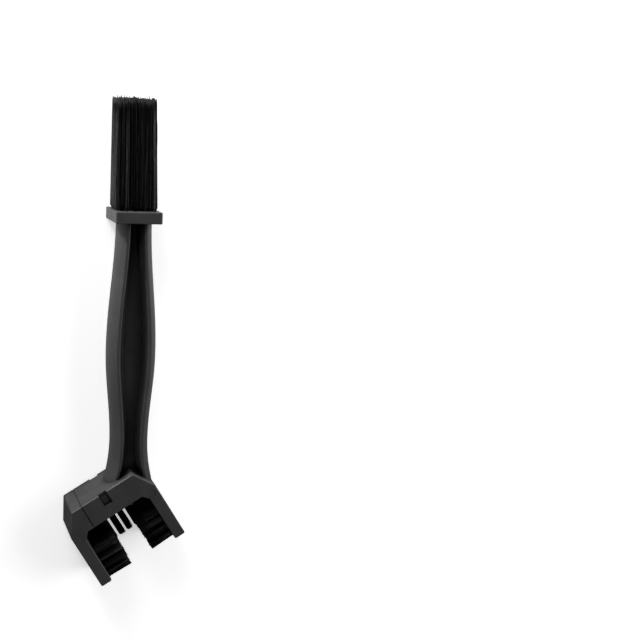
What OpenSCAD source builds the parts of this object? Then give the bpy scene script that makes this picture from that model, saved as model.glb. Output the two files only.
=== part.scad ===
// Two-ended chain cleaning brush: a three-sided brush head, a waisted grip
// and a long straight brush on the other end. Millimetres. The brush lies on
// its back: +Y runs along the grip to the long brush, +X to the right and +Z
// up out of the front face. z = 0 is the back, and the other two zeros are
// halfway along and across. The values and the modules are written for the
// brush upright, with heights from the head's lowest corner, and lying() lays
// it down.

/* [Head] */
// Angle between the head's base and the level
head_tilt = 31; // [22:1:38]
// Head from front to back
head_d = 30; // [27:0.5:36]
// Clear width between the arms at their roots
inner_w = 40.2; // [36:0.2:48]
// Thickness of an arm at its root
arm_t = 6.6; // [6:0.1:9]
// Head from the base's top to the arm tips
head_h = 47; // [44:0.5:56]
// Thickness of the base between the arms
base_t = 14.4; // [12.4:0.1:16]
// Width that each outer corner cut takes
chamfer_w = 7.5; // [5:0.1:9]
// Height that each outer corner cut takes
chamfer_h = 12.5; // [9:0.1:15]
// Width of each inner corner cut
inner_chamfer_w = 2.9; // [1:0.1:4]
// Height of each inner corner cut
inner_chamfer_h = 3.4; // [2:0.1:6]
// How far an arm's inner face leans out by its tip
inner_draft = 0.5; // [0:0.1:1]
// How far an arm's outer face leans out by its tip
outer_draft = 0.3; // [0:0.1:1]
// Radius of the head's outer corners
corner_r = 0.9; // [0.3:0.1:2]
// How far the head's middle lies to the left of the grip's axis
head_shift = 16.7; // [14:0.1:19]

/* [Grip] */
// From the head's lowest corner to the top of the collar
collar_top_z = 208; // [190:1:240]
// Grip from front to back across its flanges
grip_d = 21; // [18:0.5:26]
// Width under the collar
neck_w = 19; // [16:0.2:22]
// Width at the bulge
bulge_w = 27; // [24:0.2:32]
// Height of the bulge
bulge_z = 130; // [120:1:140]
// Width at the waist above the head
waist_w = 20.8; // [18:0.2:24]
// Height of the waist
waist_z = 80; // [74:1:90]
// How far each side spreads below the waist
foot_flare = 2.6; // [1:0.1:3.4]
// Height over which each side spreads so far
foot_h = 22; // [20:0.5:30]
// How far each side swells out between its front and back edges
side_swell = 4.1; // [2:0.1:5]
// Width of a flange's front edge
rim_w = 1.5; // [1:0.1:2.5]
// Thickness of the web between the two recesses
web_t = 3; // [2:0.2:5]
// How far a recess narrows from its mouth to its floor
recess_draft = 2.6; // [1:0.1:3.2]

/* [Collar] */
// Collar width. It is as deep as the head, so that the brush lies flat.
collar_w = 24.9; // [23:0.1:30]
// Collar height
collar_h = 6.3; // [5.6:0.1:9]

/* [Tufts] */
// Bore of a tuft hole in the head
hole_d = 3.9; // [3.7:0.1:4.3]
// Gap between the tips of opposite arm tufts
channel_w = 12.8; // [10:0.2:16]
// Arm tufts from front to back
columns = 6; // [4:1:6]
// Rows of tufts along an arm
rows = 4; // [4:1:4]
// Distance between rows along an arm
row_pitch = 5.2; // [4.8:0.1:5.4]
// From an arm's tip to the middle of the last row
tip_margin = 3.8; // [3:0.1:5]
// From the head's face to the middle of the first column
face_margin = 2.6; // [2.4:0.1:3.5]
// Plastic left under an arm's tuft holes
arm_floor = 2.1; // [1.2:0.1:3]
// Length of the two middle base tufts
base_tuft_len = 18.4; // [14:0.2:22]
// Distance between base tufts
base_pitch = 5; // [4.8:0.1:5.4]
// Tufts in the base, in one row
base_count = 4; // [4:1:4]
// Depth of a base tuft hole
base_hole_depth = 4.5; // [3.5:0.1:5]

/* [End brush] */
// Length of the end brush above the collar
end_len = 58; // [40:1:80]
// Bore of an end tuft hole
end_hole_d = 4.5; // [4.2:0.1:4.8]
// Distance between end tufts
end_pitch = 5.5; // [5.2:0.1:5.8]
// End tufts across and along
end_count = 4; // [4:1:4]
// Plastic left under the end tuft holes
end_floor = 1.3; // [0.8:0.1:2]

/* [Bristles] */
// Strands in a tuft of the head
strands = 6; // [5:1:7]
// Strands in a tuft of the end brush
end_strands = 8; // [7:1:9]
// Sides of a strand
strand_sides = 3; // [3:1:4]
// Radius of a strand
strand_r = 0.55; // [0.3:0.01:0.57]
// How far a tuft spreads by its tip
tuft_splay = 0.3; // [0:0.05:0.4]
// How uneven the strand tips are
tip_uneven = 0.8; // [0:0.1:1.5]
// From the edge of a tuft's root to its outer strands
strand_inset = 0.14; // [0.1:0.01:0.2]

/* [Anchors] */
// Thickness of an anchor plate
anchor_t = 0.45; // [0.3:0.05:0.7]
// Height of an anchor plate
anchor_h = 1.6; // [1.2:0.1:1.8]
// How far an anchor bites into the plastic on each side
anchor_bite = 0.3; // [0.15:0.05:0.4]

/* [Snap joint] */
// From the base's left top corner to the seam
seam_in = 6.2; // [5:0.1:7]
// Width of a latch window
window_w = 5; // [4:0.1:6]
// Height of a latch window
window_h = 7.3; // [6.8:0.1:8]
// Depth of a latch window
window_depth = 2.1; // [1.6:0.1:2.4]
// Thickness of the tongue and its latch fingers
tongue_t = 4.6; // [3.6:0.1:5]
// Plastic over the tongue
tongue_cover = 2; // [1.4:0.1:2.2]
// Width of a latch finger
finger_w = 2.4; // [1.8:0.1:3]
// How far a latch head stands out of its finger
latch_out = 0.7; // [0.5:0.1:1.5]
// How far the tongue's middle reaches into the base
tongue_len = 9; // [6:0.5:11]
// Slit between the tongue's middle and a finger
finger_slit = 1.4; // [1:0.1:2]

/* [Fits] */
// Clearance all round the tongue
snap_gap = 0.2; // [0.1:0.05:0.3]
// Gap at the seam
seam_gap = 0.25; // [0.1:0.05:0.3]
// Clearance round tuft roots and anchors
root_gap = 0.05; // [0.03:0.01:0.08]
// Diameter of an ejector pin mark
ejector_d = 4.9; // [3:0.1:6]
// Depth of an ejector pin mark
ejector_depth = 0.2; // [0.1:0.05:0.4]

/* [Hidden] */

// Cuts run this far past the faces that they open
overrun = 1;
// Steps in a rounded corner, in a grip side and between the grip's ends
corner_steps = 5;
side_steps = 8;
ring_count = 30;
// Shares: how deep the grip's foot and the strands' roots are sunk, and where
// on the inner corner cut's height the head's ejector mark lies
foot_sink_share = 0.4;
root_sink_share = 0.12;
mark_share = 0.6;
plastic = [0.2, 0.2, 0.2];
bristle_black = [0.07, 0.07, 0.07];
anchor_steel = [0.7, 0.7, 0.72];

// Head outline half widths, in the head's own frame
half_inner = inner_w / 2;
half_inner_tip = half_inner + inner_draft;
half_outer = half_inner + arm_t;
half_outer_tip = half_outer + outer_draft;
half_top = half_outer - chamfer_w;
half_inner_base = half_inner - inner_chamfer_w;
inner_corner_h = base_t + inner_chamfer_h;
seam_x = seam_in - half_top;

// Where the head sits, with its lowest rounded corner at height 0
head_z = (half_outer_tip - corner_r) * sin(head_tilt) + (head_h - corner_r) * cos(head_tilt) + corner_r;

// Where the grip's axis lies, so that x = 0 is halfway between left and right
head_left = -half_outer * cos(head_tilt) + chamfer_h * sin(head_tilt);
head_right = (half_outer_tip - corner_r) * cos(head_tilt) + (head_h - corner_r) * sin(head_tilt) + corner_r;
grip_x = head_shift - (head_left + head_right) / 2;

// Tuft places
row_z = [for (i = [0 : rows - 1]) -(head_h - tip_margin) + (rows - 1 - i) * row_pitch];
column_y = [for (i = [0 : columns - 1])
  -head_d / 2 + face_margin + i * (head_d - 2 * face_margin) / (columns - 1)];
base_x = [for (i = [0 : base_count - 1]) (i - (base_count - 1) / 2) * base_pitch];
end_xy = [for (i = [0 : end_count - 1]) (i - (end_count - 1) / 2) * end_pitch];
arm_hole_depth = arm_t - arm_floor;
end_hole_depth = collar_h - end_floor;
lean = atan(inner_draft / (head_h - inner_corner_h));
arm_tuft_len = (inner_w - channel_w) / 2;

// Outer base tufts stop short of the first arm row
row_reach = hole_d / 2 + tuft_splay + strand_r;
outer_tuft_len = -row_z[0] - base_t - row_reach;

// Grip stations
grip_top_z = collar_top_z - collar_h;
grip_foot_z = head_z - foot_sink_share * base_t;

// Smooth step from 0 to 1
function ease(t) = (1 - cos(180 * min(1, max(0, t)))) / 2;

// Half width of the grip at its widest, at height z
function grip_half(z) =
  z > bulge_z ? (bulge_w + (neck_w - bulge_w) * ease((z - bulge_z) / (grip_top_z - bulge_z))) / 2
  : z > waist_z ? (waist_w + (bulge_w - waist_w) * ease((z - waist_z) / (bulge_z - waist_z))) / 2
  : waist_w / 2 + foot_flare * pow((waist_z - z) / foot_h, 2);

// Half width of the grip's flat front and back
function flat_half(z) = grip_half(z) - side_swell;

// Half width of a recess at its mouth
function recess_half(z) = flat_half(z) - rim_w;

// One side of the grip's section as an arc through its front, middle and back
side_r = (pow(grip_d / 2, 2) + pow(side_swell, 2)) / (2 * side_swell);
side_angle = asin(grip_d / 2 / side_r);
function side_arc(z) = [for (i = [0 : side_steps])
  let (a = side_angle * (2 * i / side_steps - 1))
  [grip_half(z) - side_r + side_r * cos(a), side_r * sin(a)]];

// The whole section, counter-clockwise seen from above
function grip_ring(z) = let (side = side_arc(z)) concat(
  [for (p = side) [p[0], p[1], z]],
  [for (i = [side_steps : -1 : 0]) [-side[i][0], side[i][1], z]]);

// A recess section that narrows towards the web
function recess_ring(z) = let (
    slope = recess_draft / (grip_d / 2 - web_t / 2),
    mouth = recess_half(z) + slope * overrun,
    base = recess_half(z) - recess_draft,
    y_mouth = -grip_d / 2 - overrun,
    y_base = -web_t / 2
  ) [[-mouth, y_mouth, z], [mouth, y_mouth, z], [base, y_base, z], [-base, y_base, z]];

// Faces of a skin over rings of n points each
function skin_faces(n, count) = concat(
  [[for (i = [0 : n - 1]) i]],
  [[for (i = [n - 1 : -1 : 0]) (count - 1) * n + i]],
  [for (k = [0 : count - 2], i = [0 : n - 1]) [k * n + i, (k + 1) * n + i, (k + 1) * n + (i + 1) % n]],
  [for (k = [0 : count - 2], i = [0 : n - 1]) [k * n + i, (k + 1) * n + (i + 1) % n, k * n + (i + 1) % n]]);

function unit(v) = v / norm(v);

// Points that round the corner p between a and b by the radius r
function corner(a, p, b, r) = r <= 0 ? [p] : let (
    u = unit(a - p), v = unit(b - p),
    half = acos(u * v) / 2,
    c = p + unit(u + v) * r / sin(half),
    s = p + u * r / tan(half),
    e = p + v * r / tan(half),
    a0 = atan2(s[1] - c[1], s[0] - c[0]),
    a1 = atan2(e[1] - c[1], e[0] - c[0]),
    turn = ((a1 - a0 + 540) % 360) - 180
  ) [for (i = [0 : corner_steps]) let (t = a0 + turn * i / corner_steps) c + r * [cos(t), sin(t)]];

// A closed outline of [x, y, radius] points with its corners rounded
function rounded(pts) = let (n = len(pts)) [for (i = [0 : n - 1])
  let (a = pts[(i + n - 1) % n], p = pts[i], b = pts[(i + 1) % n])
  each corner([a[0], a[1]], [p[0], p[1]], [b[0], b[1]], p[2])];

// Right half of the head, from the seam to the right arm's tip
function right_outline() = [
  [seam_x, 0, 0], [half_top, 0, corner_r], [half_outer, -chamfer_h, corner_r],
  [half_outer_tip, -head_h, corner_r], [half_inner_tip, -head_h, corner_r],
  [half_inner, -inner_corner_h, corner_r], [half_inner_base, -base_t, corner_r],
  [seam_x, -base_t, 0]];

// Left arm with its stub of the base
function left_outline() = [
  [seam_x - seam_gap, 0, 0], [-half_top, 0, corner_r], [-half_outer, -chamfer_h, corner_r],
  [-half_outer_tip, -head_h, corner_r], [-half_inner_tip, -head_h, corner_r],
  [-half_inner, -inner_corner_h, corner_r], [-half_inner_base, -base_t, corner_r],
  [seam_x - seam_gap, -base_t, 0]];

// Lays upright children on their back
module lying() {
  translate([0, -(collar_top_z + end_len) / 2, head_d / 2]) rotate([-90, 0, 0]) children();
}

// Places children in the head's frame
module in_head() {
  lying() translate([grip_x - head_shift, 0, head_z]) rotate([0, -head_tilt, 0]) children();
}

// Places children on the grip's axis
module on_grip() {
  lying() translate([grip_x, 0, 0]) children();
}

// Extrudes an outline drawn in X and Z through the depth d
module through_depth(points, d) {
  translate([0, d / 2, 0]) rotate([90, 0, 0]) linear_extrude(height = d) polygon(points);
}

// Evenly spaced heights from one level to another
function levels(from, to) = [for (i = [0 : ring_count]) from + (to - from) * i / ring_count];

// The waisted grip before it is hollowed, rooted in the collar and the head
module grip_blank() {
  rings = [for (z = levels(grip_foot_z, grip_top_z + collar_h / 2)) each grip_ring(z)];
  polyhedron(rings, skin_faces(2 * (side_steps + 1), ring_count + 1));
}

// The pocket that hollows the grip's front
module grip_recess() {
  rings = [for (z = levels(grip_foot_z - overrun, grip_top_z)) each recess_ring(z)];
  polyhedron(rings, skin_faces(4, ring_count + 1));
}

module grip_shape() {
  difference() {
    grip_blank();
    grip_recess();
    mirror([0, 1, 0]) grip_recess();
    translate([0, -web_t / 2, bulge_z]) rotate([90, 0, 0])
      cylinder(h = 2 * ejector_depth, d = ejector_d, center = true, $fn = 48);
  }
}

// Collar with softened upright corners
module collar() {
  w = collar_w / 2;
  d = head_d / 2;
  translate([0, 0, grip_top_z]) linear_extrude(height = collar_h)
    polygon(rounded([[w, -d, corner_r], [w, d, corner_r], [-w, d, corner_r], [-w, -d, corner_r]]));
}

// The open space between the arms, which also trims the grip's foot
module cavity() {
  through_depth([
    [-half_inner_base, -base_t], [half_inner_base, -base_t], [half_inner, -inner_corner_h],
    [half_inner_tip, -head_h - overrun], [-half_inner_tip, -head_h - overrun], [-half_inner, -inner_corner_h]
  ], head_d + 2 * overrun);
}

// Children at each tuft of an arm, pointing out of its inner face. Side 1 is right.
module arm_places(side, row_list) {
  for (i = row_list, y = column_y)
    translate([side * (half_inner + (-row_z[i] - inner_corner_h) * tan(lean)), y, row_z[i]])
      rotate([0, -side * (90 + lean), 0]) children();
}

// Children at base tuft i, pointing down into the space between the arms
module base_place(i) {
  translate([base_x[i], 0, -base_t]) rotate([180, 0, 0]) children();
}

// Children at each end tuft of the given rows, pointing up
module end_places(row_list) {
  on_grip() for (x = end_xy, k = row_list) translate([x, end_xy[k], collar_top_z]) children();
}

// Plate that pins a folded tuft down, grown by g on every side
module anchor_plate(bore, depth, g) {
  translate([0, 0, -depth / 2]) rotate([0, 0, 45])
    cube([bore + 2 * anchor_bite + 2 * g, anchor_t + 2 * g, anchor_h + 2 * g], center = true);
}

// Hole for one tuft with the slits that its anchor cuts
module tuft_hole(bore, depth) {
  translate([0, 0, -depth]) cylinder(h = depth + overrun, d = bore, $fn = 40);
  anchor_plate(bore, depth, root_gap);
}

// One strand between two points, as a closed prism
module strand(from, to, turn) {
  n = strand_sides;
  ring = [for (i = [0 : n - 1]) strand_r * [cos(turn + 360 * i / n), sin(turn + 360 * i / n), 0]];
  polyhedron(concat([for (p = ring) from + p], [for (p = ring) to + p]), skin_faces(n, 2));
}

// One tuft: the folded root in its hole and strands that spread a little
module tuft(bore, depth, length, count) {
  ring_r = bore / 2 - root_gap - strand_inset - strand_r;
  sink = root_sink_share * depth;
  difference() {
    translate([0, 0, -depth + root_gap]) cylinder(h = depth - root_gap, d = bore - 2 * root_gap, $fn = 40);
    anchor_plate(bore, depth, root_gap);
  }
  for (i = [0 : count - 1]) {
    a = 360 * i / (count - 1);
    r = i == count - 1 ? 0 : ring_r;
    grow = i == count - 1 ? 0 : tuft_splay;
    top = length - tip_uneven * abs(sin(137 * (i + 1)));
    strand([r * cos(a), r * sin(a), -sink], [(r + grow) * cos(a), (r + grow) * sin(a), top], a);
  }
}

// Tongue and its two latch fingers, rooted inside the arm's stub, grown by g
// for the socket
module tongue(g) {
  root = seam_x - seam_gap - overrun;
  finger_out = head_d / 2 - window_depth - snap_gap;
  middle_half = finger_out - finger_w - finger_slit;
  end = window_w / 2 - snap_gap + g;
  z_low = -tongue_cover - tongue_t - g;
  translate([root - g, -middle_half - g, z_low])
    cube([tongue_len + overrun + 2 * g, 2 * (middle_half + g), tongue_t + 2 * g]);
  for (s = [-1, 1]) {
    translate([root - g, s * (finger_out - finger_w / 2) - finger_w / 2 - g, z_low])
      cube([end - root + g, finger_w + 2 * g, tongue_t + 2 * g]);
    latch_t = finger_w + latch_out;
    translate([-end, s * (finger_out - finger_w + latch_t / 2) - latch_t / 2 - g, z_low])
      cube([2 * end, latch_t + 2 * g, tongue_t + 2 * g]);
  }
}

// Window that shows a latch head, open at the top of the base
module latch_windows() {
  for (s = [-1, 1])
    translate([0, s * (head_d / 2 - window_depth / 2 + overrun / 2), (overrun - window_h) / 2])
      cube([window_w, window_depth + overrun, window_h + overrun], center = true);
}

// One moulding: grip, collar, base and right arm
module grip_body() {
  color(plastic) difference() {
    union() {
      on_grip() {
        grip_shape();
        collar();
      }
      in_head() through_depth(rounded(right_outline()), head_d);
    }
    in_head() {
      cavity();
      tongue(snap_gap);
      latch_windows();
      arm_places(1, [0 : rows - 1]) tuft_hole(hole_d, arm_hole_depth);
      for (i = [0 : base_count - 1]) base_place(i) tuft_hole(hole_d, base_hole_depth);
      translate([half_inner + ejector_d / 2, -head_d / 2, mark_share * inner_chamfer_h - inner_corner_h])
        rotate([90, 0, 0]) cylinder(h = 2 * ejector_depth, d = ejector_d, center = true, $fn = 48);
    }
    end_places([0 : end_count - 1]) tuft_hole(end_hole_d, end_hole_depth);
  }
}

// The other moulding: left arm with the tongue that snaps into the base
module snap_arm() {
  color(plastic) in_head() difference() {
    union() {
      through_depth(rounded(left_outline()), head_d);
      tongue(0);
    }
    arm_places(-1, [0 : rows - 1]) tuft_hole(hole_d, arm_hole_depth);
  }
}

module end_tuft_row(k) {
  color(bristle_black) end_places([k]) tuft(end_hole_d, end_hole_depth, end_len, end_strands);
}

module end_brush_anchors() {
  color(anchor_steel) end_places([0 : end_count - 1]) anchor_plate(end_hole_d, end_hole_depth, 0);
}

module arm_tuft_row(side, k) {
  color(bristle_black) in_head() arm_places(side, [k]) tuft(hole_d, arm_hole_depth, arm_tuft_len, strands);
}

module arm_anchors(side) {
  color(anchor_steel) in_head() arm_places(side, [0 : rows - 1]) anchor_plate(hole_d, arm_hole_depth, 0);
}

module base_tuft(i) {
  length = i == 0 || i == base_count - 1 ? outer_tuft_len : base_tuft_len;
  color(bristle_black) in_head() base_place(i) tuft(hole_d, base_hole_depth, length, strands);
}

module base_anchors() {
  color(anchor_steel) in_head() for (i = [0 : base_count - 1])
    base_place(i) anchor_plate(hole_d, base_hole_depth, 0);
}

grip_body();
snap_arm();
end_tuft_row(0);  // end_tuft_row_1
end_tuft_row(1);  // end_tuft_row_2
end_tuft_row(2);  // end_tuft_row_3
end_tuft_row(3);  // end_tuft_row_4
end_brush_anchors();
arm_tuft_row(-1, 0);  // left_arm_tuft_row_1
arm_tuft_row(-1, 1);  // left_arm_tuft_row_2
arm_tuft_row(-1, 2);  // left_arm_tuft_row_3
arm_tuft_row(-1, 3);  // left_arm_tuft_row_4
arm_anchors(-1);  // left_arm_anchors
arm_tuft_row(1, 0);  // right_arm_tuft_row_1
arm_tuft_row(1, 1);  // right_arm_tuft_row_2
arm_tuft_row(1, 2);  // right_arm_tuft_row_3
arm_tuft_row(1, 3);  // right_arm_tuft_row_4
arm_anchors(1);  // right_arm_anchors
base_tuft(0);  // base_tuft_1
base_tuft(1);  // base_tuft_2
base_tuft(2);  // base_tuft_3
base_tuft(3);  // base_tuft_4
base_anchors();
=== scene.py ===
"""Looks of the double-ended chain cleaning brush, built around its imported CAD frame.

Shapes are worked out in millimetres with the brush upright, as the part's source does,
and LAY_DOWN turns them into metres in the frame, where the brush lies on its back.
"""

import math

import bmesh
import bpy
import numpy as np
from mathutils import Matrix, Vector

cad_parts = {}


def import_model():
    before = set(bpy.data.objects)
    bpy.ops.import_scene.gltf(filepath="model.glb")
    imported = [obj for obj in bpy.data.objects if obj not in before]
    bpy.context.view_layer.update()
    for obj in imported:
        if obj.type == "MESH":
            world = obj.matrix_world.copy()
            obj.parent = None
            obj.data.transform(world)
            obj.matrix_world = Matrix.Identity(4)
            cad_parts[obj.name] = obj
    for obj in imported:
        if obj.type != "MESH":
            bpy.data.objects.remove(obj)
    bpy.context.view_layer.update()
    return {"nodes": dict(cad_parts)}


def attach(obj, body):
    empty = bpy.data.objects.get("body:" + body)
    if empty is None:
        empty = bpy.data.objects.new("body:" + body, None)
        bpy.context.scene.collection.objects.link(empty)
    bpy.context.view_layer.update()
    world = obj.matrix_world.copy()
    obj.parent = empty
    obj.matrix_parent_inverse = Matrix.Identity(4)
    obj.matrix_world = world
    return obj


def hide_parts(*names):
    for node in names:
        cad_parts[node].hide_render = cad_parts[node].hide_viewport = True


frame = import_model()

# Head, in millimetres
TILT = math.radians(31)
HEAD_D = 30.0
HALF_INNER = 20.1
ARM_T = 6.6
HEAD_H = 47.0
BASE_T = 14.4
CHAMFER_W, CHAMFER_H = 7.5, 12.5
INNER_CHAMFER_W, INNER_CHAMFER_H = 2.9, 3.4
INNER_DRAFT, OUTER_DRAFT = 0.5, 0.3
CORNER_R = 0.9
HEAD_SHIFT = 16.7
EDGE_R = 0.5
SEAM_EDGE_R = 0.2

# Grip and collar
COLLAR_TOP = 208.0
COLLAR_W, COLLAR_H = 24.9, 6.3
GRIP_D = 21.0
NECK_W, BULGE_W, WAIST_W = 19.0, 27.0, 20.8
BULGE_Z, WAIST_Z = 130.0, 80.0
FOOT_FLARE, FOOT_H = 2.6, 22.0
SIDE_SWELL, RIM_W, WEB_T, RECESS_DRAFT = 4.1, 1.5, 3.0, 2.6
RIM_R, WEB_R, WEB_STUB = 0.45, 0.8, 1
GRIP_TOP = COLLAR_TOP - COLLAR_H
ROOT_FILLET = 0.2
# The grip's rings are level from KNEE_UP above the waist, and run JOIN_IN into head and collar
KNEE_UP, JOIN_IN, LEAST_HALF = 5, 1.5, 0.05
RIDGE_W, RIDGE_H = 0.2, 0.08
PARTING_THIN = 0.2
GROOVE_W, GROOVE_H, PARTING_H = 0.3, 0.32, 0.15

# Tufts
HOLE_D, CHANNEL_W = 3.9, 12.8
COLUMNS, ROWS, ROW_PITCH, TIP_MARGIN, FACE_MARGIN = 6, 4, 5.2, 3.8, 2.6
ARM_FLOOR, BASE_HOLE_DEPTH = 2.1, 4.5
BASE_LEN, BASE_PITCH, BASE_COUNT = 18.4, 5.0, 4
END_LEN, END_HOLE_D, END_PITCH, END_COUNT, END_FLOOR = 58.0, 4.5, 5.5, 4, 1.3
LIP_H, LIP_SINK, LIP_R = 0.14, 0.03, 0.17
# Cuts run this far past the surface that they start from
CUT_PAST = 1

# Snap joint and marks
SEAM_IN, SEAM_GAP, SEAM_TOUCH, SEAM_LIP, SNAP_GAP = 6.2, 0.25, 0.8, 0.3, 0.2
WINDOW_W, WINDOW_H, WINDOW_DEPTH = 5.0, 7.3, 2.1
TONGUE_T, TONGUE_COVER, TONGUE_LEN = 4.6, 2.0, 9.0
FINGER_W, FINGER_SLIT, LATCH_OUT = 2.4, 1.4, 0.7
ROOT_IN, LATCH_ROOT, TOUCH_SHORT = 1, 0.5, 0.01
EJECTOR_D, EJECTOR_DEPTH = 4.9, 0.2

HALF_OUTER = HALF_INNER + ARM_T
HALF_TOP = HALF_OUTER - CHAMFER_W
HALF_BASE = HALF_INNER - INNER_CHAMFER_W
INNER_CORNER_H = BASE_T + INNER_CHAMFER_H
SEAM_X = SEAM_IN - HALF_TOP
MARK_H = 0.6 * INNER_CHAMFER_H - INNER_CORNER_H
ARM_HOLE_DEPTH, END_HOLE_DEPTH = ARM_T - ARM_FLOOR, COLLAR_H - END_FLOOR
ARM_LEN = HALF_INNER - CHANNEL_W / 2
LEAN = math.atan(INNER_DRAFT / (HEAD_H - INNER_CORNER_H))
COS_T, SIN_T = math.cos(TILT), math.sin(TILT)

# Where the head and the grip's axis lie, as in the part's source
TIP_X = HALF_OUTER + OUTER_DRAFT
HEAD_Z = (TIP_X - CORNER_R) * SIN_T + (HEAD_H - CORNER_R) * COS_T + CORNER_R
HEAD_LEFT = -HALF_OUTER * COS_T + CHAMFER_H * SIN_T
HEAD_RIGHT = (TIP_X - CORNER_R) * COS_T + (HEAD_H - CORNER_R) * SIN_T + CORNER_R
GRIP_X = HEAD_SHIFT - (HEAD_LEFT + HEAD_RIGHT) / 2
HEAD_X = GRIP_X - HEAD_SHIFT

MM = 0.001
# Upright millimetres to the frame's metres, lying on the back
LAY_DOWN = Matrix((
    (MM, 0, 0, 0),
    (0, 0, MM, -(COLLAR_TOP + END_LEN) / 2 * MM),
    (0, -MM, 0, HEAD_D / 2 * MM),
    (0, 0, 0, 1)))
# The head's own frame to upright millimetres
IN_HEAD = Matrix((
    (COS_T, 0, -SIN_T, HEAD_X),
    (0, 1, 0, 0),
    (SIN_T, 0, COS_T, HEAD_Z),
    (0, 0, 0, 1)))
UPRIGHT = Matrix.Identity(4)


# ---------- mesh helpers ----------

# Sine of the turn below which two edges count as one line
IN_LINE = 1e-3
WELD, SLIVER, SHARP = 0.002, 0.001, math.radians(38)


def mesh_object(name, verts, faces, matrix=UPRIGHT):
    mesh = bpy.data.meshes.new(name)
    mesh.from_pydata([matrix @ Vector(v) for v in verts], [], faces)
    bm = bmesh.new()
    bm.from_mesh(mesh)
    bmesh.ops.recalc_face_normals(bm, faces=bm.faces)
    bm.to_mesh(mesh)
    bm.free()
    obj = bpy.data.objects.new(name, mesh)
    bpy.context.scene.collection.objects.link(obj)
    return obj


def skin(rings):
    """Vertices and faces of a closed skin over rings of equally many points."""
    n = len(rings[0])
    verts = [p for ring in rings for p in ring]
    faces = [list(range(n)), list(range((len(rings) - 1) * n, len(rings) * n))]
    for k in range(len(rings) - 1):
        for i in range(n):
            j = (i + 1) % n
            faces.append((k * n + i, k * n + j, (k + 1) * n + j, (k + 1) * n + i))
    return verts, faces


def merged(parts):
    """One list of vertices and faces out of several."""
    verts, faces = [], []
    for v, f in parts:
        faces += [[i + len(verts) for i in face] for face in f]
        verts += list(v)
    return verts, faces


def boolean(obj, tool, operation):
    mod = obj.modifiers.new("shape", "BOOLEAN")
    mod.operation, mod.solver, mod.object = operation, "EXACT", tool
    graph = bpy.context.evaluated_depsgraph_get()
    mesh = bpy.data.meshes.new_from_object(obj.evaluated_get(graph))
    obj.modifiers.clear()
    obj.data = mesh
    bpy.data.objects.remove(tool)


def corner(a, p, b, r, steps=5):
    if r <= 0:
        return [p]
    u, v = (a - p).normalized(), (b - p).normalized()
    half = math.acos(max(-1, min(1, u.dot(v)))) / 2
    c = p + (u + v).normalized() * r / math.sin(half)
    s, e = p + u * r / math.tan(half) - c, p + v * r / math.tan(half) - c
    a0, a1 = math.atan2(s.y, s.x), math.atan2(e.y, e.x)
    turn = (a1 - a0 + 3 * math.pi) % (2 * math.pi) - math.pi
    return [c + r * Vector((math.cos(a0 + turn * i / steps), math.sin(a0 + turn * i / steps)))
            for i in range(steps + 1)]


def rounded(points, closed=True, steps=5):
    """Rounds the corners of an outline of (x, y, radius) points."""
    n, out = len(points), []
    for i, (x, y, r) in enumerate(points):
        if not closed and i in (0, n - 1):
            out.append(Vector((x, y)))
            continue
        a, b = points[i - 1], points[(i + 1) % n]
        out += corner(Vector(a[:2]), Vector((x, y)), Vector(b[:2]), r, steps)
    return out


def inset(outline, dists):
    """Moves each edge of a closed outline inward by its own distance."""
    ahead = outline[1:] + outline[:1]
    area = sum(p.x * q.y - q.x * p.y for p, q in zip(outline, ahead))
    side = 1 if area > 0 else -1
    normals = []
    for p, q in zip(outline, ahead):
        d = (q - p).normalized()
        normals.append(Vector((-d.y, d.x)) * side)
    out = []
    for i, p in enumerate(outline):
        n1, n2, d1, d2 = normals[i - 1], normals[i], dists[i - 1], dists[i]
        det = n1.x * n2.y - n1.y * n2.x
        if abs(det) < IN_LINE:
            out.append(p + n2 * (d1 + d2) / 2)
        else:
            out.append(p + Vector((d1 * n2.y - d2 * n1.y, d2 * n1.x - d1 * n2.x)) / det)
    return out


def slab(outline, depth, radii, parting, steps=4):
    """Rings of a slab through Y with rounded edges, and a parting line at mid-depth if asked."""
    half, profile = depth / 2, []
    for k in range(steps + 1):
        a = math.pi / 2 * k / steps
        profile.append((-half + EDGE_R * (1 - math.cos(a)), 1 - math.sin(a)))
    rings = [(y, inset(outline, [r * share for r in radii])) for y, share in profile]
    if parting:
        flat = [0.0] * len(outline)
        sunk = [PARTING_H if r == EDGE_R else 0.0 for r in radii]
        rings += [(-GROOVE_W, inset(outline, flat)), (0, inset(outline, sunk)),
                  (GROOVE_W, inset(outline, flat))]
    rings += [(-y, inset(outline, [r * share for r in radii])) for y, share in reversed(profile)]
    return [[(p.x, y, p.y) for p in pts] for y, pts in rings]


def box_part(x0, x1, y0, y1, z0, z1):
    return ([(x, y, z) for x in (x0, x1) for y in (y0, y1) for z in (z0, z1)],
            [(0, 1, 3, 2), (4, 6, 7, 5), (0, 4, 5, 1), (2, 3, 7, 6), (0, 2, 6, 4), (1, 5, 7, 3)])


def turned(origin, axis, rings, sides=32):
    """A solid turned about an axis from (radius, height) rings."""
    z = Vector(axis).normalized()
    x = z.orthogonal().normalized()
    y = z.cross(x)
    out = []
    for r, h in rings:
        out.append([tuple(Vector(origin) + z * h + (x * math.cos(t) + y * math.sin(t)) * r)
                    for t in (2 * math.pi * i / sides for i in range(sides))])
    return skin(out)


# ---------- where the tufts sit ----------

ROW_Z = [-(HEAD_H - TIP_MARGIN) + (ROWS - 1 - i) * ROW_PITCH for i in range(ROWS)]
COLUMN_Y = [-HEAD_D / 2 + FACE_MARGIN + i * (HEAD_D - 2 * FACE_MARGIN) / (COLUMNS - 1)
            for i in range(COLUMNS)]
END_XY = [(i - (END_COUNT - 1) / 2) * END_PITCH for i in range(END_COUNT)]


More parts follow.
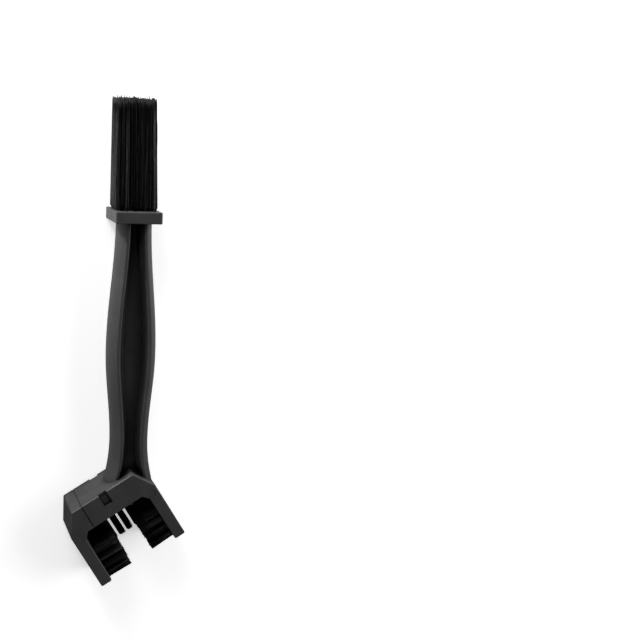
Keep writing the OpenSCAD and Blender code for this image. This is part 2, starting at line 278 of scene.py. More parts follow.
def arm_places(side, row):
    x = side * (HALF_INNER + (-ROW_Z[row] - INNER_CORNER_H) * math.tan(LEAN))
    axis = IN_HEAD.to_3x3() @ Vector((-side * math.cos(LEAN), 0, -math.sin(LEAN)))
    return [(IN_HEAD @ Vector((x, y, ROW_Z[row])), axis) for y in COLUMN_Y]


def base_places(i):
    x = (i - (BASE_COUNT - 1) / 2) * BASE_PITCH
    return [(IN_HEAD @ Vector((x, 0, -BASE_T)), IN_HEAD.to_3x3() @ Vector((0, 0, -1)))]


def end_places(row):
    return [(Vector((GRIP_X + x, END_XY[row], COLLAR_TOP)), Vector((0, 0, 1))) for x in END_XY]


def holes(places, bore, depth):
    return [turned(p, a, [(bore / 2, -depth), (bore / 2, CUT_PAST)]) for p, a in places]


def rims(places, bore):
    """Low raised lips that the drilled and driven tufts leave round their holes."""
    steps, sides, out = 7, 24, []
    for p, a in places:
        z = Vector(a)
        x = z.orthogonal().normalized()
        y = z.cross(x)
        verts, faces = [], []
        for k in range(steps):
            t = math.pi * k / (steps - 1)
            up = LIP_H * math.sin(t) - LIP_SINK
            r = bore / 2 + LIP_R - LIP_R * math.cos(t)
            m = (k + 1) % steps
            for i in range(sides):
                s, j = 2 * math.pi * i / sides, (i + 1) % sides
                verts.append(tuple(p + z * up + (x * math.cos(s) + y * math.sin(s)) * r))
                faces.append((k * sides + i, k * sides + j, m * sides + j, m * sides + i))
        out.append((verts, faces))
    return out


# ---------- the two mouldings ----------

def head_half(side, seam, parting):
    """One half of the head, from the seam round its arm and back to the seam."""
    arm = ((HALF_TOP, 0), (HALF_OUTER, -CHAMFER_H), (TIP_X, -HEAD_H),
           (HALF_INNER + INNER_DRAFT, -HEAD_H), (HALF_INNER, -INNER_CORNER_H),
           (HALF_BASE, -BASE_T))
    points = [(side * x, z, CORNER_R) for x, z in arm]
    outline = rounded([(seam, 0, 0)] + points + [(seam, -BASE_T, 0)])
    radii = [EDGE_R] * len(outline)
    radii[-1] = SEAM_EDGE_R
    return skin(slab(outline, HEAD_D, radii, parting))


def tongue_parts(g):
    """Boxes of the tongue and its two latch fingers, grown by g."""
    root = SEAM_X - SEAM_GAP - ROOT_IN
    out = HEAD_D / 2 - WINDOW_DEPTH - SNAP_GAP
    middle = out - FINGER_W - FINGER_SLIT
    end = WINDOW_W / 2 - SNAP_GAP + g
    z0, z1 = -TONGUE_COVER - TONGUE_T - g, -TONGUE_COVER + g
    tip = root + ROOT_IN + TONGUE_LEN + g
    parts = [box_part(root - g, tip, -middle - g, middle + g, z0, z1)]
    for s in (-1, 1):
        ys = sorted((s * (out - FINGER_W - g), s * (out + g)))
        parts.append(box_part(root - g, end, *ys, z0, z1))
        ys = sorted((s * (out - LATCH_ROOT), s * (out + LATCH_OUT + g)))
        parts.append(box_part(-end, end, *ys, z0, z1))
    return parts


def ease(t):
    return (1 - math.cos(math.pi * min(1, max(0, t)))) / 2


def grip_half(z):
    if z > BULGE_Z:
        return (BULGE_W + (NECK_W - BULGE_W) * ease((z - BULGE_Z) / (GRIP_TOP - BULGE_Z))) / 2
    if z > WAIST_Z:
        return (WAIST_W + (BULGE_W - WAIST_W) * ease((z - WAIST_Z) / (BULGE_Z - WAIST_Z))) / 2
    return WAIST_W / 2 + FOOT_FLARE * ((WAIST_Z - z) / FOOT_H) ** 2


def roof(x):
    """Height of the head's outer surface under the grip."""
    corners = (0, 0), (HALF_TOP, 0), (HALF_OUTER, -CHAMFER_H), (TIP_X, -HEAD_H)
    pts = [IN_HEAD @ Vector((cx, 0, cz)) for cx, cz in corners]
    return min(a.z + (x - a.x) * (b.z - a.z) / (b.x - a.x) for a, b in zip(pts, pts[1:]))


def grip_side():
    """Right side of the grip's section, as offsets from its half width, front to back."""
    d2, w2 = GRIP_D / 2, WEB_T / 2
    flat = -SIDE_SWELL
    mouth, base = flat - RIM_W, flat - RIM_W - RECESS_DRAFT
    radius = (d2 ** 2 + SIDE_SWELL ** 2) / (2 * SIDE_SWELL)
    top = math.asin(d2 / radius)
    steps, arc = 10, []
    for i in range(1, 2 * steps):
        a = top * (i / steps - 1)
        if i != steps:
            arc.append((-radius + radius * math.cos(a), radius * math.sin(a), 0))
        else:
            arc += [(0, -RIDGE_W, 0), (RIDGE_H, 0, 0), (0, RIDGE_W, 0)]
    front = [(base - WEB_STUB, -w2, 0), (base, -w2, WEB_R),
             (mouth, -d2, RIM_R), (flat, -d2, RIM_R)]
    back = [(x, -y, r) for x, y, r in reversed(front)]
    return rounded(front + arc + back, closed=False, steps=4)


def grip_skin():
    side = grip_side()
    n = len(side)
    out = []
    for i in range(n):
        d = (side[min(i + 1, n - 1)] - side[max(i - 1, 0)]).normalized()
        out.append(Vector((d.y, -d.x)))

    def ring(level, grow):
        right, left = [], []
        for p, o in zip(side, out):
            q = p + o * grow
            for s, points in ((1, right), (-1, left)):
                z = level(GRIP_X)
                # The width depends on the height and the height on x, so both are settled
                for _ in range(4):
                    x = GRIP_X + s * max(LEAST_HALF, grip_half(z) + q.x)
                    z = level(x)
                points.append((x, q.y, z))
        return right + left[::-1]

    fillet = [(ROOT_FILLET * (1 - math.cos(a)), ROOT_FILLET * (1 - math.sin(a)))
              for a in (math.pi / 2 * k / 5 for k in range(6))]
    knee, rings = WAIST_Z + KNEE_UP, [ring(lambda x: roof(x) - JOIN_IN, ROOT_FILLET)]
    for up, grow in fillet:
        rings.append(ring(lambda x: roof(x) + up, grow))
    steps = 14
    for k in range(1, steps + 1):
        w = k / steps
        rings.append(ring(lambda x: (1 - w) * (roof(x) + ROOT_FILLET) + w * knee, 0))
    steps = 56
    for k in range(1, steps + 1):
        z = knee + (GRIP_TOP - ROOT_FILLET - knee) * k / steps
        rings.append(ring(lambda x: z, 0))
    for up, grow in reversed(fillet[:-1]):
        rings.append(ring(lambda x: GRIP_TOP - up, grow))
    rings.append(ring(lambda x: GRIP_TOP + JOIN_IN, ROOT_FILLET))
    return skin(rings)


def collar_skin():
    w, d = COLLAR_W / 2, HEAD_D / 2
    right = [(w, -d, CORNER_R), (w, -GROOVE_W, 0), (w - GROOVE_H, 0, 0), (w, GROOVE_W, 0),
             (w, d, CORNER_R)]
    outline = rounded(right + [(-x, -y, r) for x, y, r in right])
    rings = slab(outline, COLLAR_H, [EDGE_R] * len(outline), False)
    middle = GRIP_TOP + COLLAR_H / 2
    return skin([[(GRIP_X + x, y, middle + z) for x, z, y in ring] for ring in rings])


def finish_shape(obj):
    """Welds, lays down and shades a moulding."""
    bm = bmesh.new()
    bm.from_mesh(obj.data)
    bmesh.ops.remove_doubles(bm, verts=bm.verts, dist=WELD)
    bmesh.ops.dissolve_degenerate(bm, edges=bm.edges, dist=SLIVER)
    bm.transform(LAY_DOWN)
    bmesh.ops.recalc_face_normals(bm, faces=bm.faces)
    for f in bm.faces:
        f.smooth = True
    bm.to_mesh(obj.data)
    bm.free()
    obj.data.validate()
    obj.data.set_sharp_from_angle(angle=SHARP)
    mod = obj.modifiers.new("normals", "WEIGHTED_NORMAL")
    mod.keep_sharp = True


def add_to(obj, part):
    extra = mesh_object("extra", *part)
    bm = bmesh.new()
    bm.from_mesh(obj.data)
    bm.from_mesh(extra.data)
    bm.to_mesh(obj.data)
    bm.free()
    bpy.data.objects.remove(extra)


def drill(obj, marks, tufts):
    """Cuts the marks and the tufts' holes, and adds the lips round the holes."""
    cuts, lips = list(marks), []
    for places, bore, depth in tufts:
        cuts += holes(places, bore, depth)
        lips += rims(places, bore)
    boolean(obj, mesh_object("tool", *merged(cuts)), "DIFFERENCE")
    add_to(obj, merged(lips))


def ejector_mark(at):
    """A shallow round mark in a face at the front."""
    rings = [(EJECTOR_D / 2, -EJECTOR_DEPTH), (EJECTOR_D / 2, CUT_PAST)]
    return turned(at, (0, -1, 0), rings, 48)


def grip_moulding():
    obj = mesh_object("grip_moulding", *head_half(1, SEAM_X, True), IN_HEAD)
    boolean(obj, mesh_object("tool", *grip_skin()), "UNION")
    boolean(obj, mesh_object("tool", *collar_skin()), "UNION")
    for part in tongue_parts(SNAP_GAP):
        boolean(obj, mesh_object("tool", *part, IN_HEAD), "DIFFERENCE")
    windows = []
    for s in (-1, 1):
        ys = sorted((s * (HEAD_D / 2 - WINDOW_DEPTH), s * (HEAD_D / 2 + CUT_PAST)))
        windows.append(box_part(-WINDOW_W / 2, WINDOW_W / 2, *ys, -WINDOW_H, CUT_PAST))
    boolean(obj, mesh_object("tool", *merged(windows), IN_HEAD), "DIFFERENCE")
    marks = [ejector_mark(IN_HEAD @ Vector((HALF_INNER + EJECTOR_D / 2, -HEAD_D / 2, MARK_H))),
             ejector_mark((GRIP_X, -WEB_T / 2, BULGE_Z))]
    tufts = [(arm_places(1, row), HOLE_D, ARM_HOLE_DEPTH) for row in range(ROWS)]
    tufts += [(base_places(i), HOLE_D, BASE_HOLE_DEPTH) for i in range(BASE_COUNT)]
    tufts += [(end_places(row), END_HOLE_D, END_HOLE_DEPTH) for row in range(END_COUNT)]
    drill(obj, marks, tufts)
    finish_shape(obj)
    return obj


def arm_moulding():
    x, y = SEAM_X - SEAM_GAP, HEAD_D / 2 - SEAM_TOUCH
    obj = mesh_object("arm_moulding", *head_half(-1, x, False), IN_HEAD)
    # The stub touches the base a little below the seam's edges
    touch = box_part(x - ROOT_IN, SEAM_X - TOUCH_SHORT, -y, y, SEAM_LIP - BASE_T, -SEAM_LIP)
    for part in [touch] + tongue_parts(0):
        boolean(obj, mesh_object("tool", *part, IN_HEAD), "UNION")
    drill(obj, [], [(arm_places(-1, row), HOLE_D, ARM_HOLE_DEPTH) for row in range(ROWS)])
    finish_shape(obj)
    return obj


# ---------- bristles ----------

GOLDEN = math.pi * (3 - math.sqrt(5))
# Strands stay WALL_GAP off their hole's wall and start ROOT_SHARE of its depth or END_ROOT down
WALL_GAP, ROOT_SHARE, END_ROOT = 0.2, 0.8, 4
ARM_SPREAD, BASE_SPREAD = (1.08, 1.24), (0.95, 1.08)

# Head tufts: sideways errors per strand and per tuft, strays and their share
STRAND_OFF, TUFT_OFF, STRAY_OFF, STRAYS = 0.13, 0.12, 0.45, 0.05
# Lengths: mean error and spread per strand, spread per tuft, and the strands' bend
TIP_MEAN, TIP_UNEVEN, TUFT_UNEVEN, BEND = -0.15, 0.28, 0.2, 0.16
# The greyest head strand: a random tone, partly painted sheen
GREYEST = 0.7

# End brush: places along a strand, and how its grey changes from root to tip, darkened at the tip
# as painted shade
END_STEPS = [0, 0.03, 0.07, 0.15, 0.25, 0.37, 0.5, 0.63, 0.76, 0.88, 1]
END_PAINTED_TIP_SHADE = [1] * 10 + [0.85, 0.3]
# Locks: their sectors, where the outer ring starts, how tight and how wild they are
SECTORS, RING_AT, LOCK_WIDTH, LOCK_OFF, LOCK_SHADE = 12, 0.66, 0.6, 0.40, 0.75
LOCKS = 2 * SECTORS
# A tuft's half width low down and at the top, and how the block narrows, leans and ends
LOW_HALF, TOP_HALF, NARROW, LEAN_BY = 2.9, 2.45, 0.94, -1.1
BLOCK_LEFT, BLOCK_RIGHT = -11.6, 9.3
END_STRAND_OFF, END_STRAY_OFF, END_STRAYS = 0.17, 0.6, 0.03
END_OVER, LOCK_UNEVEN, END_UNEVEN, END_LONG = 0.3, 0.45, 0.3, (0.6, 2.2)
WAVE_MEAN, WAVE_OFF = 0.2, 0.45


def disc(rng, n, radius):
    """Evenly spread places in a disc that is turned at random, as (n, 2)."""
    i = np.arange(n)
    r = radius * np.sqrt((i + 0.5) / n)
    flat = np.stack([r * np.cos(i * GOLDEN), r * np.sin(i * GOLDEN)], 1)
    turn = rng.uniform(0, 2 * np.pi)
    cos, sin = math.cos(turn), math.sin(turn)
    return flat @ np.array([[cos, -sin], [sin, cos]])


def filament_mesh(name, lines, radius, shades, sides=5):
    """Thin round strands along lines, an array of (strand, point, xyz) in upright millimetres."""
    count, points, _ = lines.shape
    along = lines[:, -1] - lines[:, 0]
    along /= np.linalg.norm(along, axis=1, keepdims=True)
    helper = np.where(np.abs(along[:, :1]) < 0.8, [[1.0, 0, 0]], [[0, 1.0, 0]])
    e1 = np.cross(along, helper)
    e1 /= np.linalg.norm(e1, axis=1, keepdims=True)
    e2 = np.cross(along, e1)
    angle = 2 * np.pi * np.arange(sides) / sides
    ring = e1[:, None] * np.cos(angle)[None, :, None] + e2[:, None] * np.sin(angle)[None, :, None]
    verts = lines[:, :, None, :] + ring[:, None] * radius
    verts = verts.reshape(-1, 3)
    layout = np.arange(count * points * sides).reshape(count, points, sides)
    nxt = np.roll(layout, -1, axis=2)
    quads = np.stack([layout[:, :-1], nxt[:, :-1], nxt[:, 1:], layout[:, 1:]], -1).reshape(-1, 4)
    faces = quads.tolist() + layout[:, 0, ::-1].tolist() + layout[:, -1].tolist()
    mesh = bpy.data.meshes.new(name)
    mesh.from_pydata(verts.tolist(), [], faces)
    smooth = np.ones(len(faces), dtype=bool)
    smooth[len(quads):] = False
    mesh.polygons.foreach_set("use_smooth", smooth)
    attribute = mesh.attributes.new("shade", "FLOAT", "POINT")
    shades = np.broadcast_to(shades.reshape(count, -1), (count, points))
    attribute.data.foreach_set("value", np.repeat(shades.ravel(), sides).astype(np.float32))
    mesh.transform(LAY_DOWN)
    mesh.update()
    obj = bpy.data.objects.new(name, mesh)
    bpy.context.scene.collection.objects.link(obj)
    return obj


def head_tufts(name, places, depth, length, seed, spread_by, count=64, radius=0.165):
    """Tufts of straight filaments that spread a little, with uneven tips."""
    rng = np.random.default_rng(seed)
    t = np.linspace(0, 1, 4)[None, :, None]
    lines = []
    for origin, axis in places:
        z = np.array(axis)
        x = np.array(Vector(axis).orthogonal().normalized())
        y = np.cross(z, x)
        flat = disc(rng, count, HOLE_D / 2 - WALL_GAP)
        root = np.array(origin) + flat[:, :1] * x + flat[:, 1:] * y - z * depth * ROOT_SHARE
        spread = (flat * rng.uniform(*spread_by) + rng.normal(0, STRAND_OFF, flat.shape)
                  + rng.normal(0, TUFT_OFF, 2))
        stray = rng.random(count) < STRAYS
        spread[stray] += rng.normal(0, STRAY_OFF, (int(stray.sum()), 2))
        reach = (length + rng.normal(TIP_MEAN, TIP_UNEVEN, (count, 1))
                 - np.abs(rng.normal(0, TUFT_UNEVEN)))
        tip = np.array(origin) + spread[:, :1] * x + spread[:, 1:] * y + z * reach
        bend = x * rng.normal(0, BEND, (count, 1)) + y * rng.normal(0, BEND, (count, 1))
        lines.append(root[:, None] * (1 - t) + tip[:, None] * t + bend[:, None] * (t * t - t) * 2)
    lines = np.concatenate(lines)
    return filament_mesh(name, lines, radius, GREYEST * rng.random(len(lines)) ** 2)


def end_tufts(name, row, seed, count=84, radius=0.175):
    """One row of the long brush, whose tufts merge into a block that leans a little."""
    rng = np.random.default_rng(seed)
    t = np.array(END_STEPS)[None, :, None]
    bore_r = END_HOLE_D / 2 - WALL_GAP
    zero = np.zeros((count, 1))
    lines, shades = [], []
    for origin, _ in end_places(row):
        flat = disc(rng, count, bore_r)
        size = np.linalg.norm(flat, axis=1, keepdims=True)
        square = flat * size / np.abs(flat).max(axis=1, keepdims=True) / bore_r
        centre = np.array([origin.x - GRIP_X, origin.y])
        # Strands stick together in locks, an inner and an outer ring of them
        sector = (np.arctan2(flat[:, 1], flat[:, 0]) / (2 * np.pi) + 0.5) * SECTORS
        lock = sector.astype(int) % SECTORS
        lock += SECTORS * (size[:, 0] > RING_AT * bore_r)
        middles = np.stack([np.bincount(lock, square[:, k], LOCKS) for k in (0, 1)], 1)
        middles = (middles / np.maximum(1, np.bincount(lock, minlength=LOCKS))[:, None])[lock]
        square = middles + (square - middles) * LOCK_WIDTH
        wander = rng.normal(0, LOCK_OFF, (LOCKS, 2))[lock]
        shade = LOCK_SHADE * rng.random(LOCKS)[lock] + (1 - LOCK_SHADE) * rng.random(count)
        # The lit tips are darkened as painted shade
        shades.append(shade[:, None] * END_PAINTED_TIP_SHADE)
        low = centre + square * LOW_HALF
        top = (centre * NARROW + square * TOP_HALF + wander
               + rng.normal(0, END_STRAND_OFF, flat.shape) + [LEAN_BY, 0])
        stray = rng.random(count) < END_STRAYS
        top[stray] += rng.normal(0, END_STRAY_OFF, (int(stray.sum()), 2))
        top[:, 0] = np.clip(top[:, 0], BLOCK_LEFT, BLOCK_RIGHT)
        reach = (END_LEN + END_OVER + rng.normal(0, LOCK_UNEVEN, (LOCKS, 1))[lock]
                 + rng.normal(0, END_UNEVEN, (count, 1)))
        reach[rng.random(count) < END_STRAYS] += rng.uniform(*END_LONG)
        # GRIP_X goes on both axes here, so the feet lie 1.4 mm further back than their holes
        base = np.concatenate([GRIP_X + centre + flat, zero + COLLAR_TOP], 1)
        spread = np.concatenate([GRIP_X + low, zero + COLLAR_TOP], 1)
        tip = np.concatenate([top + [GRIP_X, 0], reach + COLLAR_TOP], 1)
        # Up in a slight wave, and out of the hole to the block's full width by the second step
        wave = np.concatenate([wander * rng.normal(WAVE_MEAN, WAVE_OFF, (count, 1)), zero], 1)
        path = spread[:, None] * (1 - t) + tip[:, None] * t
        path += wave[:, None] * np.sin(t * np.pi * 2)
        path += (base - spread)[:, None] * np.maximum(0, 1 - t / END_STEPS[1])
        root = base - [0, 0, END_ROOT]
        lines.append(np.concatenate([root[:, None], path], axis=1))
    return filament_mesh(name, np.concatenate(lines), radius, np.concatenate(shades))


# ---------- materials ----------

BLACK = [(0.3, (0.030, 0.030, 0.0305)), (0.7, (0.038, 0.038, 0.0385))]
STEEL = [(0.3, (0.42, 0.42, 0.43)), (0.7, (0.62, 0.62, 0.64))]
# Strand greys: a random tone whose lightest strands are partly painted sheen
STRAND_SHADES = [(0.0, 0.0005), (0.50, 0.002), (0.95, 0.10)]
# How far hollows are looked for when painting shade into them, in metres
HOLLOW_REACH = 0.005


def node_material(name):
    mat = bpy.data.materials.new(name)
    mat.use_nodes = True
    tree = mat.node_tree
    shader = tree.nodes["Principled BSDF"]
    coords = tree.nodes.new("ShaderNodeTexCoord").outputs["Object"]
    return mat, tree, shader, coords


def noise(tree, coords, scale, detail=2.0, roughness=0.5, stretch=None):
    if stretch:
        mapping = tree.nodes.new("ShaderNodeMapping")
        mapping.inputs["Scale"].default_value = stretch
        tree.links.new(coords, mapping.inputs["Vector"])
        coords = mapping.outputs["Vector"]
    node = tree.nodes.new("ShaderNodeTexNoise")
    node.inputs["Scale"].default_value = scale
    node.inputs["Detail"].default_value = detail
    node.inputs["Roughness"].default_value = roughness
    tree.links.new(coords, node.inputs["Vector"])
    return node.outputs["Fac"]


def ramp(tree, value, stops):
    node = tree.nodes.new("ShaderNodeValToRGB")
    elements = node.color_ramp.elements
    while len(elements) < len(stops):
        elements.new(0.5)
    for element, (at, colour) in zip(elements, stops):
        element.position = at
        element.color = (*colour, 1) if isinstance(colour, tuple) else (colour, colour, colour, 1)
    tree.links.new(value, node.inputs["Fac"])
    return node.outputs["Color"]


def mix(tree, kind, share, a, b):
    node = tree.nodes.new("ShaderNodeMix")
    node.data_type, node.blend_type = "RGBA", kind
    sockets = [s for s in node.inputs if s.type == "RGBA"]
    if isinstance(share, float):
        node.inputs["Factor"].default_value = share
    else:
        tree.links.new(share, node.inputs["Factor"])
    tree.links.new(a, sockets[0])
    tree.links.new(b, sockets[1])
    return next(s for s in node.outputs if s.type == "RGBA")


def bump(tree, height, distance, strength, normal=None):
    node = tree.nodes.new("ShaderNodeBump")
    node.inputs["Distance"].default_value = distance
    node.inputs["Strength"].default_value = strength
    tree.links.new(height, node.inputs["Height"])
    if normal:
        tree.links.new(normal, node.inputs["Normal"])
    return node.outputs["Normal"]


def maths(tree, operation, *values):
    node = tree.nodes.new("ShaderNodeMath")
    node.operation = operation
    for value, socket in zip(values, node.inputs):
        if isinstance(value, (int, float)):
            socket.default_value = value
        else:
            tree.links.new(value, socket)
    return node.outputs[0]


def off_plane(tree, coords, axis, point):
    """Millimetres from a plane through a point of the head, square to one of its axes."""
    to_frame = LAY_DOWN @ IN_HEAD
    along = (to_frame.to_3x3() @ Vector(axis)).normalized()
    dot = tree.nodes.new("ShaderNodeVectorMath")
    dot.operation = "DOT_PRODUCT"
    dot.inputs[1].default_value = along
    tree.links.new(coords, dot.inputs[0])
    return maths(tree, "MULTIPLY_ADD", dot.outputs["Value"], 1 / MM,
                 -along.dot(to_frame @ Vector(point)) / MM)


def off_lines(tree, coords):
    """Millimetres from the head's seam or from the edge of its finer parting line."""
    seam = off_plane(tree, coords, (1, 0, 0), (SEAM_X - SEAM_GAP / 2, 0, 0))
    seam = maths(tree, "ABSOLUTE", seam)
    parting = maths(tree, "ABSOLUTE", off_plane(tree, coords, (0, 1, 0), (0, 0, 0)))
    parting = maths(tree, "ADD", parting, PARTING_THIN)
    # The parting line is on the right moulding alone, and neither goes above the head's top
    parting = maths(tree, "MAXIMUM", parting, off_plane(tree, coords, (-1, 0, 0), (SEAM_X, 0, 0)))
    nearest = maths(tree, "MINIMUM", seam, parting)
    return maths(tree, "MAXIMUM", nearest, off_plane(tree, coords, (0, 0, 1), (0, 0, 0)))


def edge_mask(tree):
    """1 on outward edges and 0 on flat faces and in corners."""
    geometry = tree.nodes.new("ShaderNodeNewGeometry").outputs
    soft = tree.nodes.new("ShaderNodeBevel")
    soft.samples = 6
    soft.inputs["Radius"].default_value = EDGE_R * MM
    same = tree.nodes.new("ShaderNodeVectorMath")
    same.operation = "DOT_PRODUCT"
    tree.links.new(soft.outputs[0], same.inputs[0])
    tree.links.new(geometry["True Normal"], same.inputs[1])
    turned_away = ramp(tree, same.outputs["Value"], [(0.80, 1.0), (0.97, 0.0)])
    outward = ramp(tree, geometry["Pointiness"], [(0.50, 0.0), (0.52, 1.0)])
    return maths(tree, "MULTIPLY", turned_away, outward)


def plastic(name):
    """Satin black moulded plastic: fine grain, faint flow marks, edges lighter as wear and
    painted highlight, painted shade in hollows and on the seam and parting line.
    """
    mat, tree, shader, coords = node_material(name)
    cloud = noise(tree, coords, 90, 3)
    base = ramp(tree, cloud, BLACK)
    hollow = tree.nodes.new("ShaderNodeAmbientOcclusion")
    hollow.samples = 8
    hollow.inputs["Distance"].default_value = HOLLOW_REACH
    # Painted shade: the base colour darkens in hollows, by how closed in they are
    painted_hollow_shade = ramp(tree, hollow.outputs["AO"], [(0.55, 0.06), (0.98, 1.0)])
    # Where the painted edge highlight may show: open places away from the seam and parting line
    open_for_highlight = ramp(tree, hollow.outputs["AO"], [(0.92, 0.0), (0.98, 1.0)])
    off_line = off_lines(tree, coords)
    open_for_highlight = maths(tree, "MULTIPLY", open_for_highlight, ramp(tree, off_line, [(0.5, 0.0), (0.8, 1.0)]))
    # Painted highlight, partly wear: outward edges get a lighter base colour
    wear_and_highlight = maths(tree, "MULTIPLY", edge_mask(tree), open_for_highlight)
    colour = mix(tree, "ADD", 1.0, base, ramp(tree, wear_and_highlight, [(0.0, 0.0), (1.0, 0.06)]))
    # Painted shade: a dark line along the seam and the parting line
    colour = mix(tree, "MULTIPLY", 1.0, colour, ramp(tree, off_line, [(0.25, 0.3), (0.45, 1.0)]))
    tree.links.new(mix(tree, "MULTIPLY", 1.0, colour, painted_hollow_shade), shader.inputs["Base Color"])
    streaks = noise(tree, coords, 260, 3, 0.6, (1, 0.12, 1))
    satin = ramp(tree, streaks, [(0.3, 0.40), (0.72, 0.52)])
    dull = ramp(tree, off_line, [(0.25, 0.9), (0.45, 0.0)])
    tree.links.new(maths(tree, "MAXIMUM", satin, dull), shader.inputs["Roughness"])
    shader.inputs["Specular IOR Level"].default_value = 0.32
    grain = noise(tree, coords, 5200, 2, 0.6)
    sink = noise(tree, coords, 60, 1)
    normal = bump(tree, sink, 0.0006, 0.12)
    normal = bump(tree, grain, 0.00006, 0.35, normal)
    tree.links.new(normal, shader.inputs["Normal"])
    return mat


def bristle(name):
    """Black nylon filament: a slight sheen, and some strands greyer than others, a random tone
    that is partly painted sheen.
    """
    mat, tree, shader, coords = node_material(name)
    attribute = tree.nodes.new("ShaderNodeAttribute")
    attribute.attribute_name = "shade"
    shade = ramp(tree, attribute.outputs["Fac"], STRAND_SHADES)
    streak = noise(tree, coords, 420, 2)
    tone = ramp(tree, streak, [(0.35, 0.6), (0.65, 1.0)])
    tree.links.new(mix(tree, "MULTIPLY", 1.0, shade, tone), shader.inputs["Base Color"])
    tree.links.new(ramp(tree, streak, [(0.3, 0.30), (0.7, 0.45)]), shader.inputs["Roughness"])
    shader.inputs["Specular IOR Level"].default_value = 0.08
    grain = noise(tree, coords, 3000, 1)
    tree.links.new(bump(tree, grain, 0.00003, 0.3), shader.inputs["Normal"])
    return mat


def wire(name):
    """Drawn flat steel wire, with lines along its length."""
    mat, tree, shader, coords = node_material(name)
    lines = noise(tree, coords, 2500, 2, 0.5, (0.15, 1, 1))
    tree.links.new(ramp(tree, lines, STEEL), shader.inputs["Base Color"])
    tree.links.new(ramp(tree, lines, [(0.3, 0.28), (0.7, 0.45)]), shader.inputs["Roughness"])
    shader.inputs["Metallic"].default_value = 1.0
    tree.links.new(bump(tree, lines, 0.00002, 0.3), shader.inputs["Normal"])
    return mat


# ---------- the pieces ----------

# First seeds of the random draws
ARM_SEED, BASE_SEED, END_SEED = 5, 70, 90


def dress(piece, slot, material, *nodes):
    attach(piece, "root")
    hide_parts(*nodes)
    piece.data.materials.clear()
    piece.data.materials.append(material)


black, nylon, steel = plastic("moulded_black"), bristle("nylon_black"), wire("drawn_steel")

dress(grip_moulding(), "moulded_plastic", black, "grip_body")
dress(arm_moulding(), "moulded_plastic", black, "snap_arm")

for row in range(ROWS):
    for side, word in ((-1, "left"), (1, "right")):
        filaments = head_tufts(f"{word}_arm_filaments_{row + 1}", arm_places(side, row),
                               ARM_HOLE_DEPTH, ARM_LEN, ARM_SEED + 10 * row + side, ARM_SPREAD)
        dress(filaments, "bristle", nylon, f"{word}_arm_tuft_row_{row + 1}")
for i in range(BASE_COUNT):
    filaments = head_tufts(f"base_filaments_{i + 1}", base_places(i), BASE_HOLE_DEPTH, BASE_LEN,
                           BASE_SEED + i, BASE_SPREAD)
    dress(filaments, "bristle", nylon, f"base_tuft_{i + 1}")
for row in range(END_COUNT):
    filaments = end_tufts(f"end_filaments_{row + 1}", row, END_SEED + row)
    dress(filaments, "bristle", nylon, f"end_tuft_row_{row + 1}")

for node in ("end_brush_anchors", "left_arm_anchors", "right_arm_anchors", "base_anchors"):
    for slot in frame["nodes"][node].material_slots:
        slot.material = steel


# ---------- floor, light and camera ----------

FLOOR_HALF, FLOOR_DROP, FADE_HALF = 4, 0.0002, 0.2
FLOOR_TONE = [(0.3, 0.84), (0.7, 0.86)]
FLOOR_GLOW = [(0.2, 0.55), (0.9, 0.9)]
FLOOR_FADE = [(0.0, 0.0), (0.25, 0.005), (0.4, 0.3), (0.6, 0.7), (1.0, 1.0)]
SKY = 1.5
SKY_HIGH = [(0.0, 1.0), (0.15, 0.9), (0.35, 0.4), (0.7, 0.14), (1.0, 0.1)]
SKY_ALONG = [(0.2, 0.15), (0.5, 0.7), (0.9, 1.0)]

# Lamps: name, place, aim, size and power
LAMPS = [
    ("key", (-0.3, 0.55, 0.05), (0, -0.03, 0.015), 0.1, 7.3),
    ("fill", (0.9, 0.2, 0.5), (0, -0.02, 0), 1.1, 8.5),
    ("soft", (-0.3, 0.8, 0.55), (0, -0.05, 0), 0.4, 3.0),
]

# Camera: its place, the way its right, top and back face, and its lens
CAMERA_AT = (-0.12488, 0.131551, 0.616962)
CAMERA_AXES = ((0.93255, 0.0552, 0.3568), (0.01386, 0.98204, -0.18817),
               (-0.36078, 0.18042, 0.91503))
SENSOR, LENS = 36.0, 63.330
NEAREST, FARTHEST = 0.01, 20.0


def share_along(tree, vector, axis, half):
    """One axis of a vector, with -half to half mapped to 0 to 1."""
    split = tree.nodes.new("ShaderNodeSeparateXYZ")
    tree.links.new(vector, split.inputs[0])
    node = tree.nodes.new("ShaderNodeMapRange")
    node.inputs["From Min"].default_value, node.inputs["From Max"].default_value = -half, half
    tree.links.new(split.outputs[axis], node.inputs["Value"])
    return node.outputs[0]


def either(tree, share, first, second):
    """A mix of two shaders."""
    node = tree.nodes.new("ShaderNodeMixShader")
    for value, socket in zip((share, first, second), node.inputs):
        tree.links.new(value, socket)
    return node.outputs[0]


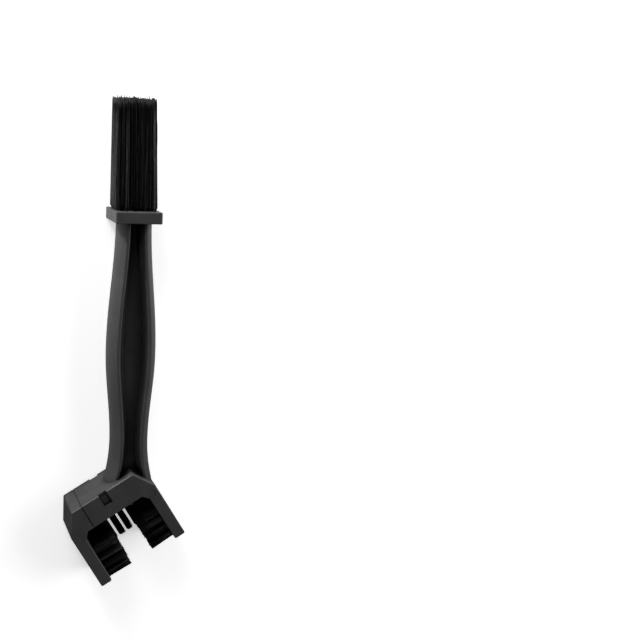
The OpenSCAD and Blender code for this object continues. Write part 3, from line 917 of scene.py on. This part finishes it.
def floor():
    """Pale floor. The camera sees it as white with a soft shadow.

    Reflections see it fade out towards the head's end.
    """
    corners = [(x * FLOOR_HALF, y * FLOOR_HALF, -FLOOR_DROP)
               for x, y in ((-1, -1), (1, -1), (1, 1), (-1, 1))]
    mesh = bpy.data.meshes.new("floor")
    mesh.from_pydata(corners, [], [(0, 1, 2, 3)])
    obj = bpy.data.objects.new("floor", mesh)
    bpy.context.scene.collection.objects.link(obj)
    mat, tree, shader, coords = node_material("floor_white")
    tone = ramp(tree, noise(tree, coords, 8, 2), FLOOR_TONE)
    tree.links.new(tone, shader.inputs["Base Color"])
    shader.inputs["Roughness"].default_value = 0.9
    shader.inputs["Specular IOR Level"].default_value = 0.0
    path = tree.nodes.new("ShaderNodeLightPath").outputs
    far = tree.nodes.new("ShaderNodeVectorMath")
    far.operation = "LENGTH"
    tree.links.new(coords, far.inputs[0])
    glow = tree.nodes.new("ShaderNodeEmission")
    tree.links.new(ramp(tree, far.outputs["Value"], FLOOR_GLOW), glow.inputs["Color"])
    tree.links.new(path["Is Camera Ray"], glow.inputs["Strength"])
    seen = tree.nodes.new("ShaderNodeAddShader")
    tree.links.new(shader.outputs[0], seen.inputs[0])
    tree.links.new(glow.outputs[0], seen.inputs[1])
    mirrored = tree.nodes.new("ShaderNodeEmission")
    fade = ramp(tree, share_along(tree, coords, "Y", FADE_HALF), FLOOR_FADE)
    tree.links.new(fade, mirrored.inputs["Color"])
    surface = either(tree, path["Is Glossy Ray"], seen.outputs[0], mirrored.outputs[0])
    tree.links.new(surface, tree.nodes["Material Output"].inputs["Surface"])
    mesh.materials.append(mat)


def world():
    """A plain studio, bright low down and past the long brush, dim overhead and past the head."""
    scene_world = bpy.data.worlds.new("studio")
    bpy.context.scene.world = scene_world
    scene_world.use_nodes = True
    tree = scene_world.node_tree
    lit = tree.nodes["Background"]
    outward = tree.nodes.new("ShaderNodeTexCoord").outputs["Generated"]
    split = tree.nodes.new("ShaderNodeSeparateXYZ")
    tree.links.new(outward, split.inputs[0])
    high = ramp(tree, split.outputs["Z"], SKY_HIGH)
    along = ramp(tree, share_along(tree, outward, "Y", 1.0), SKY_ALONG)
    tree.links.new(mix(tree, "MULTIPLY", 1.0, high, along), lit.inputs["Color"])
    lit.inputs["Strength"].default_value = SKY
    shown = tree.nodes.new("ShaderNodeBackground")
    shown.inputs["Color"].default_value = (1, 1, 1, 1)
    path = tree.nodes.new("ShaderNodeLightPath").outputs
    surface = either(tree, path["Is Camera Ray"], lit.outputs[0], shown.outputs[0])
    tree.links.new(surface, tree.nodes["World Output"].inputs["Surface"])


def lamp(name, at, aim, size, power):
    data = bpy.data.lights.new(name, "AREA")
    data.shape, data.size, data.energy = "DISK", size, power
    obj = bpy.data.objects.new(name, data)
    obj.location = at
    obj.rotation_mode = "QUATERNION"
    obj.rotation_quaternion = (Vector(aim) - Vector(at)).to_track_quat("-Z", "Y")
    bpy.context.scene.collection.objects.link(obj)


def camera():
    data = bpy.data.cameras.new("camera")
    data.sensor_width, data.lens = SENSOR, LENS
    data.clip_start, data.clip_end = NEAREST, FARTHEST
    obj = bpy.data.objects.new("camera", data)
    obj.rotation_mode = "QUATERNION"
    obj.rotation_quaternion = Matrix(CAMERA_AXES).transposed().to_quaternion()
    obj.location = CAMERA_AT
    bpy.context.scene.collection.objects.link(obj)
    bpy.context.scene.camera = obj


floor()
world()
for values in LAMPS:
    lamp(*values)
camera()
bpy.context.scene.view_settings.view_transform = "Standard"
